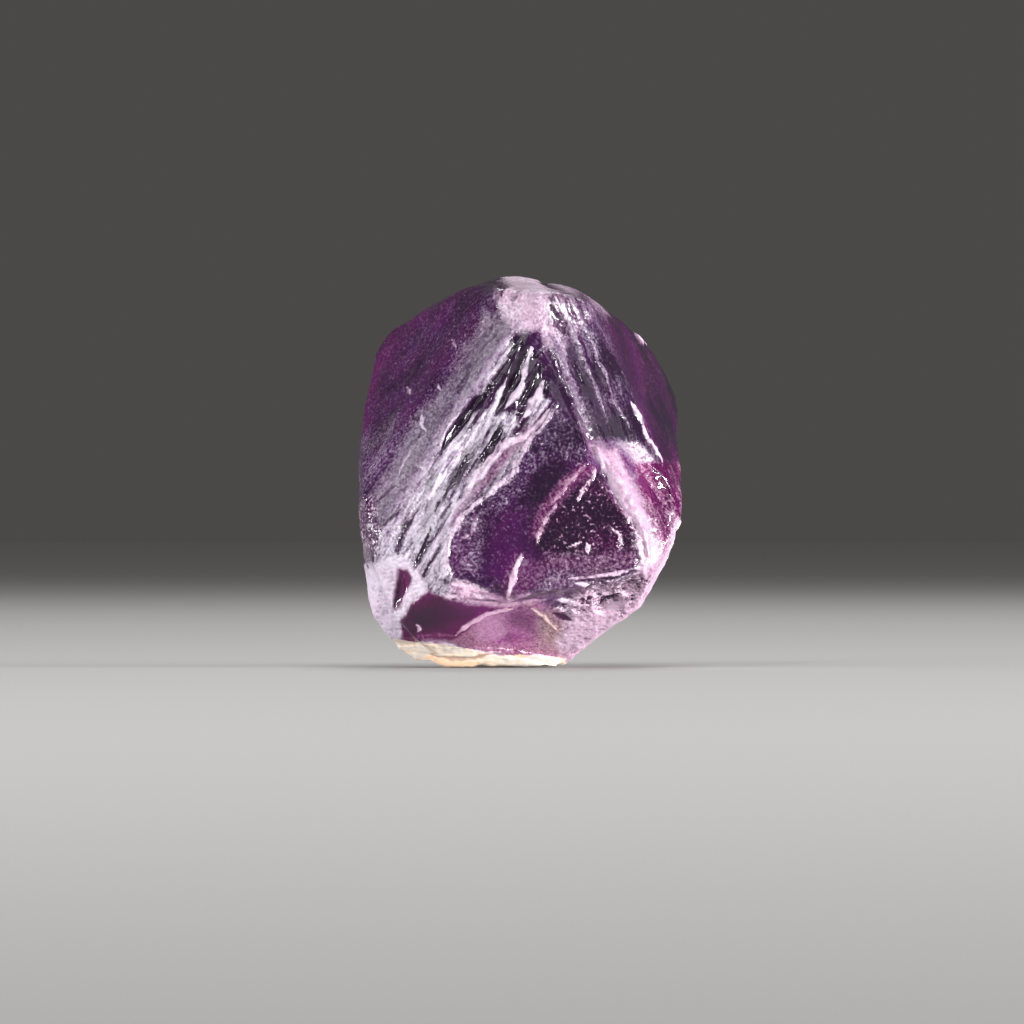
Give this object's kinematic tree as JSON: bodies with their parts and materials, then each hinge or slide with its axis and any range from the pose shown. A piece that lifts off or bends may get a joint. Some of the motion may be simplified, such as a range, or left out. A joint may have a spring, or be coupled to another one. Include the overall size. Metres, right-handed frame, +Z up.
{
  "type": "raw spinel crystal",
  "caption": "Purple see-through octahedral crystal with worn edges, stepped and grooved faces and a flat pale foot that it stands on.",
  "frame": {"origin": "on the surface that the crystal stands on, under the middle of its box", "axes": "+Z up, +X to the right and +Y to the back for someone facing the large stepped face"},
  "size_m": [0.0102, 0.0092, 0.0123],
  "materials": {
    "spinel": "see-through purple with glossy faces, frosted white steps and grooves, and a cream crust under the foot"
  },
  "bodies": {
    "root": {"spinel_crystal": "spinel"}
  },
  "joints": []
}
